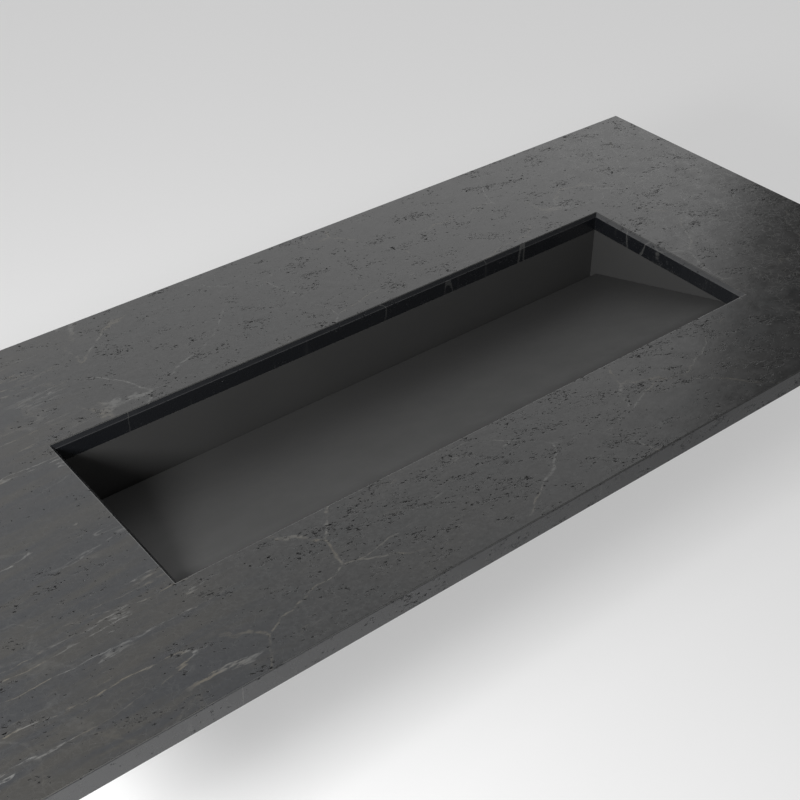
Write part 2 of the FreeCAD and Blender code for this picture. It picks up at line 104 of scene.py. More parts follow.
# Sizes that the boxes of the frame don't give, in metres
MM = 0.001
STRIP_WIDTH = 30 * MM
STUD_RADIUS = 3 * MM
STUD_DISTANCE = 41 * MM
WASHER_RADIUS = 8 * MM
HUB_RADIUS = 6 * MM
HUB_LOW_RADIUS = 4.8 * MM
HUB_HEIGHT = 7 * MM
WING_SPAN = 28 * MM
WING_TIP_RADIUS = 4.5 * MM
WING_RISE = 11 * MM
WING_THICKNESS = 2 * MM
FOOT_TIP_RADIUS = 8.5 * MM
FOOT_ROOT_RADIUS = 11 * MM
FOOT_SPIGOT_RADIUS = 4 * MM
FOOT_SPIGOT_LENGTH = 6 * MM
BUMPER_RADIUS = 8 * MM
BUMPER_SPIGOT_RADIUS = 3 * MM
BUMPER_THICKNESS = 3 * MM
BODY_RADIUS = 20.955 * MM
BODY_FLANGE_RADIUS = 32 * MM
BODY_FLANGE_THICKNESS = 2 * MM
BODY_BORE_RADIUS = 17.5 * MM
BODY_SEAT_RADIUS = 23 * MM
BODY_SEAT_DEPTH = 1 * MM
TOP_SEAL_RADIUS = 31 * MM
BOTTOM_SEAL_RADIUS = 33 * MM
RING_RADIUS = 32 * MM
TAIL_RADIUS = 16 * MM
TAIL_BORE_RADIUS = 14.5 * MM
TAIL_SCREW_LENGTH = 12 * MM
STEM_RADIUS = 2 * MM
KNOB_RADIUS = 6.5 * MM
KNOB_HEIGHT = 6 * MM
RIVET_RADIUS = 3.6 * MM
RIVET_THICKNESS = 1 * MM
CUP_WALL = 0.8 * MM
FIT = 0.2 * MM
WELD = 0.002 * MM

# Places and shapes given as shares of a size
CLIP_SHARES = (-0.4, 0.0, 0.4)
FOOT_SHARES = (-0.38, -0.14, 0.14, 0.38)
STUD_DEPTH_SHARE = 0.61
BODY_DEPTH_SHARE = 0.64
FLANK_SHARE = 0.40
CREST_SHARE = 0.12
SUNK_SHARE = 0.2
WING_EDGE_SHARE = 0.35
BUMPER_RELIEF_SHARES = (0.55, 0.62)
RIB_HEIGHT_SHARE = 0.4
RIB_FLAT_SHARES = (0.2, 0.8)
BEAD_SHARES = (0.75, 0.25)
KNOB_TOP_SHARES = (0.45, 0.38)
LOWER_SEAL_EDGE_SHARE = 3.0

# Steps of round shapes, limits of angles and the weight that keeps flat faces flat
TURN_STEPS = 72
FINE_STEPS = 96
HUB_STEPS = 48
STUD_STEPS = 32
STUD_THREAD_STEPS = 24
WING_ARC_STEPS = 14
BEAD_ARC_STEPS = 10
RIM_ARC_STEPS = 6
KNOB_ARC_STEPS = 12
NUT_SIDES = 6
ROUND_SEGMENTS = 3
SMOOTH_ANGLE = math.radians(32)
EDGE_ANGLE = math.radians(35)
FLAT_ANGLE = math.radians(0.5)
FLAT_WEIGHT = 100

# Where the stone's pattern and finish change: start and end of each change, in metres
LEFT_BANDS = (-0.36, -0.56)
LEFT_VEINS = (-0.56, -0.40)
LEFT_PITS = (-0.30, -0.60)
FRONT_PITS = (-0.25, -0.62)
RIGHT_CRACKLE = (0.42, 0.68)
# Depths under the top of the pale line painted along the upper arris as a highlight
ARRIS_HIGHLIGHT_DROPS = (0.02 * MM, 0.15 * MM)
SAWN_HEIGHTS = (0.3 * MM, 0.1 * MM)

# Turn of the stone's strokes, and roughness of its sawn face and of the floor
STROKE_TURN = math.radians(-16)
SAWN_ROUGHNESS = 0.85
FLOOR_ROUGHNESS = 0.8

# Width of the floor in metres and of the camera's sensor in millimetres
FLOOR_SIZE = 40.0
SENSOR_WIDTH = 36.0

# Where the room's levels change: start and end of each change, measured along a direction
SIDE_CHANGE = (-0.010, 0.032)
HEIGHT_CHANGE = (-1.04, -0.49)
FRONT_CHANGE = (0.62, 0.88)
BACK_CHANGE = (0.30, 0.85)


def number_setting(name, description, default, **kind):
    return bpy.props.FloatProperty(name=name, description=description, default=default, **kind)


def vector_setting(name, description, default, **kind):
    return bpy.props.FloatVectorProperty(name=name, description=description, default=default,
                                         size=len(default), **kind)


def color_setting(name, description, default):
    return vector_setting(name, description, default, subtype="COLOR", min=0, max=1)


def place_setting(name, description, default):
    return vector_setting(name, description, default, subtype="TRANSLATION", unit="LENGTH")


def share_setting(name, description, default):
    return number_setting(name, description, default, min=0, max=1)


def length_setting(name, description, default):
    return number_setting(name, description, default, min=0, unit="LENGTH", precision=4)


class StoneSettings(bpy.types.PropertyGroup):
    """Colours and sizes of the honed stone"""
    base_color: color_setting("Stone", "Grey of the honed face", (0.0262, 0.0262, 0.0260))
    cool_color: color_setting("Cool cloud", "Bluish clouds", (0.0215, 0.0232, 0.0242))
    band_color: color_setting("Blue band", "Bands at the left end", (0.0205, 0.0222, 0.0256))
    warm_color: color_setting("Warm cloud", "Brownish clouds", (0.0330, 0.0312, 0.0278))
    # Near-black painted shade inside the small pits and cracks
    pit_shade_color: color_setting("Pit", "Black of the small pits", (0.0012, 0.0012, 0.0014))
    vein_color: color_setting("Vein", "Pale grey of the veins", (0.135, 0.135, 0.130))
    rust_color: color_setting("Vein edge", "Beige tint of some veins", (0.110, 0.098, 0.076))
    # Near-black of the edge faces: partly their polish, partly painted shade on the cut-out's faces
    polished_edge_and_shade_color: color_setting("Edge", "Polished edges, darkened by painted shade", (0.0070, 0.0078, 0.0095))
    sawn_color: color_setting("Sawn face", "Sawn underside", (0.075, 0.076, 0.076))
    arris: length_setting("Arris", "Rounding of the upper edges", 0.0009)
    saw_edge: length_setting("Lower edge", "Rounding of the other edges", 0.0004)
    roughness: share_setting("Roughness", "Roughness of the honed face", 0.17)
    edge_roughness: share_setting("Edge roughness", "Roughness of the polished edges", 0.26)
    pit_depth: length_setting("Pit depth", "Depth of the small pits", 0.0005)
    gloss: number_setting("Gloss", "Index of refraction of the sealed stone", 1.75, min=1, max=3)


class BasinSettings(bpy.types.PropertyGroup):
    """Colour and finish of the cast basin"""
    arris: length_setting("Arris", "Rounding of the edges", 0.0004)
    base_color: color_setting("Composite", "Grey of basin and ramp", (0.0435, 0.0435, 0.0430))
    roughness: share_setting("Roughness", "Roughness of the matt basin", 0.58)
    grain: length_setting("Grain", "Height of the fine grain", 0.00002)


class FittingSettings(bpy.types.PropertyGroup):
    """Threads, edges and ribs of the fittings"""
    stud_pitch: length_setting("Stud pitch", "Rise of one turn of the studs' thread", 0.001)
    body_pitch: length_setting("Waste pitch", "Rise of one turn of the waste's thread", 0.002309)
    edge: length_setting("Edge", "Rounding of the turned edges", 0.0003)
    rib_count: bpy.props.IntProperty(name="Ribs", description="Ribs under a bearing strip",
                                     min=2, max=12, default=6)


class StageSettings(bpy.types.PropertyGroup):
    """Floor, lights and camera"""
    floor_color: color_setting("Floor", "Pale floor", (0.80, 0.80, 0.80))
    world_level: share_setting("World", "Soft light from all around", 0.19)
    back_level: share_setting("Back wall", "Light that the wall behind adds", 0.45)
    front_level: share_setting("Front wall", "Front wall, seen in gloss", 0.7)
    shade_level: share_setting("Shade side", "Shaded side, seen in gloss", 0.08)
    bright_side: vector_setting("Bright side", "Side that gloss shows bright", (-0.574, 0.819, 0.0),
                                subtype="DIRECTION")
    bright_height: vector_setting("Bright height", "Way down from the ceiling to the horizon",
                                  (-0.07, -0.07, -0.995), subtype="DIRECTION")
    camera_glow: share_setting("Floor glow", "Share of white that the eye sees in the floor", 0.45)
    key_power: number_setting("Key light", "Power of the light beside the left end", 38.0, min=0)
    key_place: place_setting("Key place", "Place of the key light", (-1.55, -0.95, 0.78))
    key_size: vector_setting("Key size", "Width and height, in metres", (0.50, 0.40))
    ceiling_power: number_setting("Ceiling light", "Power of the light over the left half", 6.0, min=0)
    ceiling_place: place_setting("Ceiling place", "Place of the ceiling light", (-0.50, -0.50, 2.20))
    ceiling_size: vector_setting("Ceiling size", "Width and depth, in metres", (0.90, 0.90))
    azimuth: number_setting("Azimuth", "Turn of the view", math.radians(-38.115), subtype="ANGLE")
    elevation: number_setting("Elevation", "Height of the view", math.radians(37.226), subtype="ANGLE")
    focal_length: number_setting("Lens", "Focal length, in millimetres", 60.732)
    camera_place: place_setting("Camera", "Place of the camera", (-0.99457, -1.61956, 1.15662))


# Node helpers

def new_material(name):
    """An empty node material and its shader."""
    material = bpy.data.materials.new(name)
    material.use_nodes = True
    material.node_tree.nodes.clear()
    shader = add_node(material.node_tree, "ShaderNodeBsdfPrincipled")
    add_node(shader, "ShaderNodeOutputMaterial", Surface=shader.outputs["BSDF"])
    return material, shader


def feed(socket, value):
    """Sets a socket to a value, or links it to another socket."""
    if isinstance(value, bpy.types.NodeSocket):
        socket.id_data.links.new(value, socket)
    elif socket.type == "RGBA":
        socket.default_value = (*value[:3], 1.0)
    else:
        socket.default_value = value


def add_node(owner, kind, *values, settings=None, **inputs):
    """A node in the tree of a socket or a node. Its inputs are fed in their order or by name."""
    node = owner.id_data.nodes.new(kind)
    for key, value in (settings or {}).items():
        setattr(node, key, value)
    for socket, value in zip(node.inputs, values):
        feed(socket, value)
    for key, value in inputs.items():
        feed(node.inputs[key.replace("_", " ")], value)
    return node


def vector_math(operation, first, *others):
    return add_node(first, "ShaderNodeVectorMath", first, *others,
                    settings={"operation": operation}).outputs


def calc(operation, first, *others, clamp=False):
    """An operation on the first value and each further value in turn."""
    for other in others:
        first = add_node(first, "ShaderNodeMath", first, other,
                         settings={"operation": operation, "use_clamp": clamp}).outputs[0]
    return first


def product(*values):
    return calc("MULTIPLY", *values)


def smooth_step(value, low, high, start=0.0, end=1.0):
    """A soft change from start to end while the value goes from low to high."""
    node = add_node(value, "ShaderNodeMapRange", value, low, high, start, end,
                    settings={"interpolation_type": "SMOOTHSTEP"})
    return node.outputs["Result"]


def mix_colors(share, first, second):
    """Shows the second colour by a share over the first."""
    node = add_node(share, "ShaderNodeMix", share, settings={"data_type": "RGBA"})
    feed(node.inputs[6], first)
    feed(node.inputs[7], second)
    return node.outputs[2]


def mix_shaders(share, first, second):
    """Shows the second shader by a share over the first."""
    return add_node(share, "ShaderNodeMixShader", share, first, second).outputs[0]


def tinted(color, tone):
    """A colour made darker or lighter by a tone around 1."""
    node = add_node(tone, "ShaderNodeVectorMath", color, settings={"operation": "SCALE"}, Scale=tone)
    return node.outputs[0]


def stretched(place, scale=(1, 1, 1), turn=0.0, offset=(0.0, 0.0, 0.0)):
    """Coordinates moved, turned about the upright axis and then scaled, so a small scale draws a
    pattern out along the turned axis."""
    node = add_node(place, "ShaderNodeMapping", settings={"vector_type": "TEXTURE"}, Vector=place,
                    Location=offset, Rotation=(0.0, 0.0, turn), Scale=[1 / share for share in scale])
    return node.outputs["Vector"]


def strokes(place, scale, offset=(0.0, 0.0, 0.0)):
    """Coordinates that draw a pattern out along the slanting strokes of the stone."""
    return stretched(place, (scale, 1.0, 1.0), STROKE_TURN, offset)


def noise(place, scale, detail=4.0, roughness=0.5, output="Fac"):
    node = add_node(place, "ShaderNodeTexNoise", Vector=place, Scale=scale, Detail=detail,
                    Roughness=roughness)
    return node.outputs[output]


def patches(place, grain, low, high, start=0.0, end=1.0):
    """Soft patches of a noise, whose grain is its scale, detail and roughness."""
    return smooth_step(noise(place, *grain), low, high, start, end)


def winding_line(place, grain, outer, inner, strength=1.0):
    """Lines that wind along the middle value of a noise and fade from inner to outer."""
    distance = calc("ABSOLUTE", calc("SUBTRACT", noise(place, *grain), 0.5), 0.0)
    return smooth_step(distance, outer, inner, 0.0, strength)


def cell_edges(place, scale):
    """Distance to the borders of random cells."""
    return add_node(place, "ShaderNodeTexVoronoi", settings={"feature": "DISTANCE_TO_EDGE"},
                    Vector=place, Scale=scale).outputs["Distance"]


def warped(place, scale, amount):
    """Coordinates pushed about by a soft noise."""
    push = vector_math("SUBTRACT", noise(place, scale, 3.0, output="Color"), (0.5, 0.5, 0.5))[0]
    return vector_math("MULTIPLY_ADD", push, (amount, amount, amount), place)[0]


def object_coordinates(shader):
    return add_node(shader, "ShaderNodeTexCoord").outputs["Object"]


def axis(place, name):
    return add_node(place, "ShaderNodeSeparateXYZ", place).outputs[name]


def along(way, direction):
    """How far a way goes along a direction."""
    return vector_math("DOT_PRODUCT", way, direction)["Value"]


def set_finish(shader, color, rough, relief, depth):
    """Gives a shader its colour, its roughness and a small relief."""
    feed(shader.inputs["Base Color"], color)
    feed(shader.inputs["Roughness"], rough)
    bump = add_node(shader, "ShaderNodeBump", Height=relief, Distance=depth, Strength=1.0)
    feed(shader.inputs["Normal"], bump.outputs["Normal"])


# The stone's pattern, layer by layer

def stone_ground(place, settings):
    """Soft mottled grey with cool and warm clouds that are drawn out along the top."""
    drawn = stretched(warped(place, 3.0, 0.10), (1.0, 2.4, 2.4))
    cool = patches(drawn, (5.0, 6.0, 0.58), 0.36, 0.56, 0.35, 0.0)
    color = mix_colors(cool, settings.base_color, settings.cool_color)
    warm = patches(stretched(drawn, offset=(3.1, 1.7, 0.4)), (3.2, 5.0, 0.6), 0.52, 0.78, 0.0, 0.45)
    color = mix_colors(warm, color, settings.warm_color)
    mottle = patches(stretched(place, (1.0, 1.8, 1.8)), (55.0, 6.0, 0.62), 0.25, 0.75, 0.80, 1.18)
    fine = patches(strokes(place, 0.7), (260.0, 3.0, 0.6), 0.30, 0.70, 0.80, 1.18)
    return tinted(color, product(mottle, fine))


def vein_tint(place, settings, scale, low):
    """The pale grey of the veins, which turns beige in places."""
    tint = patches(place, (scale, 1.0), low, 0.60)
    return mix_colors(tint, settings.vein_color, settings.rust_color)


def stone_bands(place, settings, color):
    """Flowing bands and pale streaks at the left end, along the length of the top."""
    left = smooth_step(axis(place, "X"), *LEFT_BANDS)
    spots = patches(stretched(place, offset=(0.9, 4.1, 0.3)), (4.2, 2.0), 0.58, 0.66)
    flow = stretched(warped(place, 4.0, 0.05), (0.9, 9.0, 9.0))
    bands = patches(flow, (3.5, 5.0, 0.6), 0.40, 0.60)
    banded = mix_colors(bands, settings.band_color, settings.warm_color)
    color = mix_colors(product(left, 0.60), color, banded)
    streaks = stretched(warped(warped(place, 5.0, 0.03), 40.0, 0.007),
                        (0.5, 6.0, 6.0), offset=(0.7, 2.3, 0.0))
    line = winding_line(streaks, (2.6, 4.0), 0.011, 0.001)
    fibres = patches(stretched(place, (0.25, 1.0, 1.0)), (260.0, 3.0, 0.6), 0.38, 0.60)
    broken = patches(stretched(place, (0.5, 1.0, 1.0)), (9.0, 3.0), 0.40, 0.54)
    line = product(line, fibres, broken, calc("MAXIMUM", left, spots), 0.66)
    return mix_colors(line, color, vein_tint(place, settings, 12.0, 0.45))


def stone_veins(place, settings, color):
    """Sparse thin pale veins that branch in threes and break off into short strokes."""
    bent = stretched(warped(warped(place, 6.0, 0.09), 50.0, 0.010), (0.8, 1.2, 1.0))
    width = patches(place, (90.0, 3.0, 0.6), 0.35, 0.75, 0.0, 0.004)
    line = smooth_step(calc("SUBTRACT", cell_edges(bent, 5.0), width), 0.010, 0.0)
    broken = patches(stretched(place, offset=(1.3, 0.2, 0.8)), (11.0, 5.0, 0.65), 0.44, 0.56)
    fibres = patches(strokes(place, 0.35), (240.0, 3.0, 0.6), 0.32, 0.58)
    share = smooth_step(axis(place, "X"), *LEFT_VEINS, 0.10, 0.55)
    line = product(line, broken, fibres, share)
    return mix_colors(line, color, vein_tint(place, settings, 9.0, 0.46))


def stone_crackle(place, settings, color):
    """A fine light crackle, plain at the right end and faint elsewhere."""
    bent = warped(warped(place, 55.0, 0.010), 160.0, 0.003)
    line = smooth_step(cell_edges(bent, 95.0), 0.07, 0.01)
    broken = patches(place, (48.0, 3.0, 0.6), 0.36, 0.58)
    right = smooth_step(axis(place, "X"), *RIGHT_CRACKLE, 0.10, 1.0)
    line = product(line, broken, right, 0.50)
    return mix_colors(line, color, settings.vein_color)


def stone_pits(place):
    """Small dark pits and crack-like squiggles in clusters: 1 in a pit, 0 on the plain face."""
    rows = noise(strokes(place, 0.45, (0.4, 5.0, 0.0)), 40.0, 3.0, 0.6)
    front = smooth_step(axis(place, "Y"), *FRONT_PITS, 0.0, 0.03)
    left = smooth_step(axis(place, "X"), *LEFT_PITS, 0.0, 0.07)
    clusters = calc("SUBTRACT", calc("ADD", rows, front), left)
    drawn = strokes(warped(place, 70.0, 0.006), 0.45)
    specks = noise(drawn, 330.0, 2.0)
    limit = smooth_step(clusters, 0.40, 0.66, 0.72, 0.60)
    pits = smooth_step(calc("SUBTRACT", specks, limit), 0.0, 0.04, 0.0, 0.9)
    large = noise(stretched(drawn, offset=(2.0, 0.0, 0.0)), 130.0, 4.0, 0.6)
    limit = smooth_step(clusters, 0.44, 0.70, 0.745, 0.63)
    blots = smooth_step(calc("SUBTRACT", large, limit), 0.0, 0.03)
    bent = strokes(warped(place, 50.0, 0.010), 0.4)
    squiggle = winding_line(bent, (60.0, 5.0, 0.65), 0.012, 0.002)
    gaps = product(noise(place, 90.0, 2.0), 0.3)
    cracked = smooth_step(calc("ADD", clusters, gaps), 0.70, 0.80, 0.0, 0.8)
    return calc("MAXIMUM", pits, blots, product(squiggle, cracked))


def stone_faces(place, settings, color, pits):
    """Colour and roughness with the polished edges and the sawn underside, told apart by height. The
    edges' near-black colour is partly their polish and partly painted shade, and a pale line along the
    upper arris is a painted highlight.
    """
    height = axis(place, "Z")
    top = STONE_HIGH.z
    edge = smooth_step(height, top - settings.arris * 0.7, top - settings.arris)
    # Band just under the top where a painted highlight runs along the rounded arris
    arris = smooth_step(height, *[top - drop for drop in ARRIS_HIGHLIGHT_DROPS])
    arris = calc("SUBTRACT", arris, edge, clamp=True)
    streak = patches(stretched(place, (1.0, 1.0, 0.15), offset=(0.3, 0.9, 0.0)),
                     (26.0, 5.0, 0.65), 0.60, 0.72, 0.0, 0.12)
    bent = stretched(warped(place, 30.0, 0.01), (1.0, 1.0, 0.2))
    thread = winding_line(bent, (7.0, 2.0), 0.004, 0.001, 0.32)
    broken = patches(place, (5.0, 2.0), 0.46, 0.54)
    bright = calc("MAXIMUM", streak, product(thread, broken))
    # The edge faces take a near-black colour that is partly their polish and partly painted shade
    polished = mix_colors(bright, settings.polished_edge_and_shade_color, settings.vein_color)
    # Painted highlight: a pale line of vein colour along the upper arris
    color = mix_colors(product(arris, 0.25), color, settings.vein_color)
    color = mix_colors(edge, color, polished)
    under = smooth_step(height, *SAWN_HEIGHTS)
    saw = patches(stretched(place, (400.0, 6.0, 1.0)), (1.0, 3.0, 0.6), 0.3, 0.7, 0.86, 1.12)
    color = mix_colors(under, color, tinted(settings.sawn_color, saw))
    rough = patches(place, (30.0, 4.0, 0.6), 0.3, 0.7, settings.roughness - 0.04,
                    settings.roughness + 0.05)
    polish = product(edge, settings.edge_roughness - settings.roughness)
    rough = calc("MAXIMUM", calc("ADD", rough, polish), pits)
    sawn = product(under, SAWN_ROUGHNESS - settings.edge_roughness)
    return color, calc("ADD", rough, sawn, clamp=True)


def stone_material(settings):
    material, shader = new_material("honed_stone")
    place = object_coordinates(shader)
    color = stone_ground(place, settings)
    for layer in (stone_bands, stone_veins, stone_crackle):
        color = layer(place, settings, color)
    pits = stone_pits(place)
    # Painted shade: the pits and cracks turn near black; the same mask also sinks them by bump and
    # roughens them
    color = mix_colors(pits, color, settings.pit_shade_color)
    color, rough = stone_faces(place, settings, color, pits)
    grain = product(noise(place, 900.0, 3.0, 0.6), 0.035)
    swell = product(noise(stretched(place, (0.7, 1.0, 1.0)), 95.0, 3.0), 0.11)
    relief = calc("SUBTRACT", calc("ADD", grain, swell), pits)
    set_finish(shader, color, rough, relief, settings.pit_depth)
    shader.inputs["IOR"].default_value = settings.gloss
    return material


# The basin's finish

def basin_material(settings):
    """A cast mineral composite: an even dark grey with a fine, matt, slightly cloudy face."""
    material, shader = new_material("cast_composite")
    place = object_coordinates(shader)
    grain = noise(place, 1400.0, 2.0, 0.6)
    tone = product(patches(place, (9.0, 3.0), 0.3, 0.7, 0.975, 1.025),
                   smooth_step(grain, 0.25, 0.75, 0.96, 1.04))
    specks = patches(stretched(place, offset=(2.0, 0, 0)), (2300.0, 1.0), 0.70, 0.76, 0.0, 0.10)
    color = tinted(settings.base_color, calc("ADD", tone, specks))
    rough = patches(place, (22.0, 4.0, 0.6), 0.3, 0.7, settings.roughness - 0.03,
                    settings.roughness + 0.03)
    set_finish(shader, color, rough, grain, settings.grain)
    return material


# Modelling helpers

def set_mode(mode):
    bpy.ops.object.mode_set(mode=mode)


def pick_only(piece):
    bpy.ops.object.select_all(action="DESELECT")
    piece.hide_set(False)
    piece.select_set(True)
    bpy.context.view_layer.objects.active = piece


def draw_line(name, points):
    """A line drawn from a plane that is merged to one point. It stays selected, in edit mode."""
    bpy.ops.object.select_all(action="DESELECT")
    bpy.ops.mesh.primitive_plane_add(size=MM, location=(0, 0, 0))
    piece = bpy.context.object
    piece.name = name
    set_mode("EDIT")
    bpy.ops.mesh.select_mode(type="VERT")
    bpy.ops.mesh.select_all(action="SELECT")
    bpy.ops.mesh.merge(type="CENTER")
    bpy.ops.transform.translate(value=points[0])
    for start, end in zip(points, points[1:]):
        bpy.ops.mesh.extrude_vertices_move(TRANSFORM_OT_translate={"value": end - start})
    bpy.ops.mesh.select_all(action="SELECT")
    return piece


def merge_doubles():
    bpy.ops.mesh.select_all(action="SELECT")
    bpy.ops.mesh.remove_doubles(threshold=WELD)


def weld():
    """Merges doubles and turns the faces outward, in edit mode, and goes back to object mode."""
    merge_doubles()
    bpy.ops.mesh.normals_make_consistent(inside=False)
    set_mode("OBJECT")


def turned(name, profile, steps=TURN_STEPS):
    """A profile of (radius, height) points spun about the upright axis."""
    piece = draw_line(name, [Vector((radius, 0, height)) for radius, height in profile])
    bpy.ops.mesh.spin(steps=steps, angle=math.tau, center=(0, 0, 0), axis=(0, 0, 1))
    weld()
    return piece


def extruded(name, outline, travel):
    """A closed outline of points pulled along a straight travel."""
    piece = draw_line(name, outline + outline[:1])
    merge_doubles()
    bpy.ops.mesh.edge_face_add()
    bpy.ops.mesh.extrude_region_move(TRANSFORM_OT_translate={"value": travel})
    weld()
    return piece


def apply_modifier(piece, kind, **values):
    pick_only(piece)
    modifier = piece.modifiers.new(kind.lower(), kind)
    for key, value in values.items():
        setattr(modifier, key, value)
    bpy.ops.object.modifier_apply(modifier=modifier.name)


def soften(piece, width, segments=2):
    """Rounds the sharp edges and shades the curves smooth, while large flat faces stay flat."""
    apply_modifier(piece, "BEVEL", width=width, segments=segments, limit_method="ANGLE",
                   angle_limit=EDGE_ANGLE)
    bpy.ops.object.shade_smooth_by_angle(angle=SMOOTH_ANGLE)
    apply_modifier(piece, "WEIGHTED_NORMAL", weight=FLAT_WEIGHT, keep_sharp=True)
    return piece


def combine(piece, tool, operation):
    """Cuts or trims a piece with a tool shape, which is then removed."""
    apply_modifier(piece, "BOOLEAN", operation=operation, object=tool, solver="EXACT")
    bpy.data.objects.remove(tool)


def joined(pieces):
    pick_only(pieces[0])
    for piece in pieces[1:]:
        piece.select_set(True)
    bpy.ops.object.join()
    return pieces[0]


def thread_ridge(root, crest, pitch, low, high, steps):
    """The helical ridge of a thread, closed at both ends, that sits on a plain core."""
    flank = pitch * FLANK_SHARE
    flat = pitch * CREST_SHARE
    sunk = root - SUNK_SHARE * (crest - root)
    points = [(sunk, low), (crest, low + flank), (crest, low + flank + flat),
              (sunk, low + 2 * flank + flat)]
    ridge = draw_line("ridge", [Vector((radius, 0, height)) for radius, height in points + points[:1]])
    merge_doubles()
    set_mode("OBJECT")
    apply_modifier(ridge, "SCREW", screw_offset=pitch, iterations=int((high - low - pitch) / pitch),
                   steps=steps, render_steps=steps)
    set_mode("EDIT")
    bpy.ops.mesh.select_all(action="SELECT")
    bpy.ops.mesh.fill_holes(sides=len(points))
    weld()
    bpy.ops.object.shade_smooth_by_angle(angle=SMOOTH_ANGLE)
    return ridge


def put(piece, place, turn=0.0):
    """Moves a piece to its place and applies it to the mesh."""
    pick_only(piece)
    piece.location = place
    piece.rotation_euler.z = turn
    bpy.ops.object.transform_apply(location=True, rotation=True, scale=True)
    return piece


def fit(piece, node, body, material=None):
    """Puts a finished piece on its body in place of a node of the frame, whose material it takes where
    it has none of its own."""
    piece.data.materials.clear()
    piece.data.materials.append(material or frame["nodes"][node].data.materials[0])
    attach(piece, body)
    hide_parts(node)


def fit_copies(piece, places, node, body):
    """Copies of a piece at every place, each with its own mesh."""
    name = piece.name
    for number, (place, turn) in enumerate(places, 1):
        pick_only(piece)
        bpy.ops.object.duplicate(linked=False)
        copy = bpy.context.object
        copy.name = name + "_" + str(number)
        put(copy, place, turn)
        fit(copy, node, body)
    bpy.data.objects.remove(piece)


def round_top(piece, height, width):
    """Rounds the sharp edges that lie in the face at a height."""
    pick_only(piece)
    set_mode("EDIT")
    bpy.ops.mesh.select_mode(type="EDGE")
    bpy.ops.mesh.select_all(action="DESELECT")
    bpy.ops.mesh.edges_select_sharp(sharpness=SMOOTH_ANGLE)
    set_mode("OBJECT")
    mesh = piece.data
    for edge in mesh.edges:
        edge.select = edge.select and all(mesh.vertices[i].co.z > height - WELD for i in edge.vertices)
    set_mode("EDIT")
    bpy.ops.mesh.bevel(offset=width, segments=ROUND_SEGMENTS, affect="EDGES")
    set_mode("OBJECT")


def smooth_copy(node, name, body, edge, material=None, top_edge=0.0):
    """A merged copy of a node whose shape is right, with its edges rounded and its curves smooth."""
    source = frame["nodes"][node]
    copy = source.copy()
    copy.data = source.data.copy()
    copy.name = name
    copy.parent = None
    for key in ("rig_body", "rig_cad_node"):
        del copy[key]
    bpy.context.scene.collection.objects.link(copy)
    pick_only(copy)
    set_mode("EDIT")
    merge_doubles()
    bpy.ops.mesh.dissolve_limited(angle_limit=FLAT_ANGLE)
    set_mode("OBJECT")
    if top_edge:
        round_top(copy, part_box(node)[1].z, top_edge)
    soften(copy, edge)
    fit(copy, node, body, material)


def ring(name, outer, inner, low, high, edge):
    """A flat ring with rounded edges."""
    profile = [(inner, low), (outer, low), (outer, high), (inner, high), (inner, low)]
    return soften(turned(name, profile), edge)


def round_point(center, radius, degrees):
    """The point of a circle at an angle, in the plane of radius and height."""
    turn = math.radians(degrees)
    return (center[0] + radius * math.cos(turn), center[1] + radius * math.sin(turn))


def arc(center, radius, start, end, count):
    """Points of an arc from one angle to another, in degrees."""
    return [round_point(center, radius, start + (end - start) * i / count) for i in range(count + 1)]


# Pieces

def clip_places():
    """Place and turn of each clip's stud, around the cut-out."""
    left, right = STUDS_LOW.x + STUD_RADIUS, STUDS_HIGH.x - STUD_RADIUS
    front, back = STUDS_LOW.y + STUD_RADIUS, STUDS_HIGH.y - STUD_RADIUS
    opening = 2 * (right - STUD_DISTANCE)
    places = []
    for share in CLIP_SHARES:
        places.append(((share * opening, back, 0), 0.0))
        places.append(((share * opening, front, 0), math.pi))
    middle = (front + back) / 2
    places.append(((left, middle, 0), math.pi / 2))
    places.append(((right, middle, 0), -math.pi / 2))
    return places


def make_studs(fittings):
    low, high = STUDS_LOW.z, STUDS_HIGH.z
    depth = STUD_DEPTH_SHARE * fittings.stud_pitch
    root = STUD_RADIUS - depth
    lead = 2 * depth
    core = turned("clip_stud", [(0, low), (root - depth, low), (root, low + lead), (root, high - lead),
                                (root - depth, high), (0, high)], STUD_STEPS)
    soften(core, depth / 4)
    ridge = thread_ridge(root, STUD_RADIUS, fittings.stud_pitch, low + lead, high - lead,
                         STUD_THREAD_STEPS)
    fit_copies(joined([core, ridge]), clip_places(), "clip_studs", "washtop")


def make_washers(fittings):
    washer = ring("clip_washer", WASHER_RADIUS, STUD_RADIUS + FIT, WASHERS_LOW.z, WASHERS_HIGH.z,
                  fittings.edge)
    fit_copies(washer, clip_places(), "clip_washers", "washtop")


def wing(top, side):
    """One cast wing: a plate that widens outward to a rounded ear and leans down."""
    reach = WING_SPAN / 2 - WING_TIP_RADIUS
    drop = top - WING_RISE + WING_TIP_RADIUS / 2
    root = top - HUB_HEIGHT / 2
    lean = math.degrees(math.atan2(drop - root, reach))
    points = arc((reach, drop), WING_TIP_RADIUS, lean - 90, lean + 90, WING_ARC_STEPS)
    points += [round_point((0, root), HUB_HEIGHT / 3, lean + turn) for turn in (90, -90)]
    outline = [Vector((side * x, -WING_THICKNESS / 2, z)) for x, z in points]
    return soften(extruded("wing", outline, (0, WING_THICKNESS, 0)),
                  WING_THICKNESS * WING_EDGE_SHARE, ROUND_SEGMENTS)


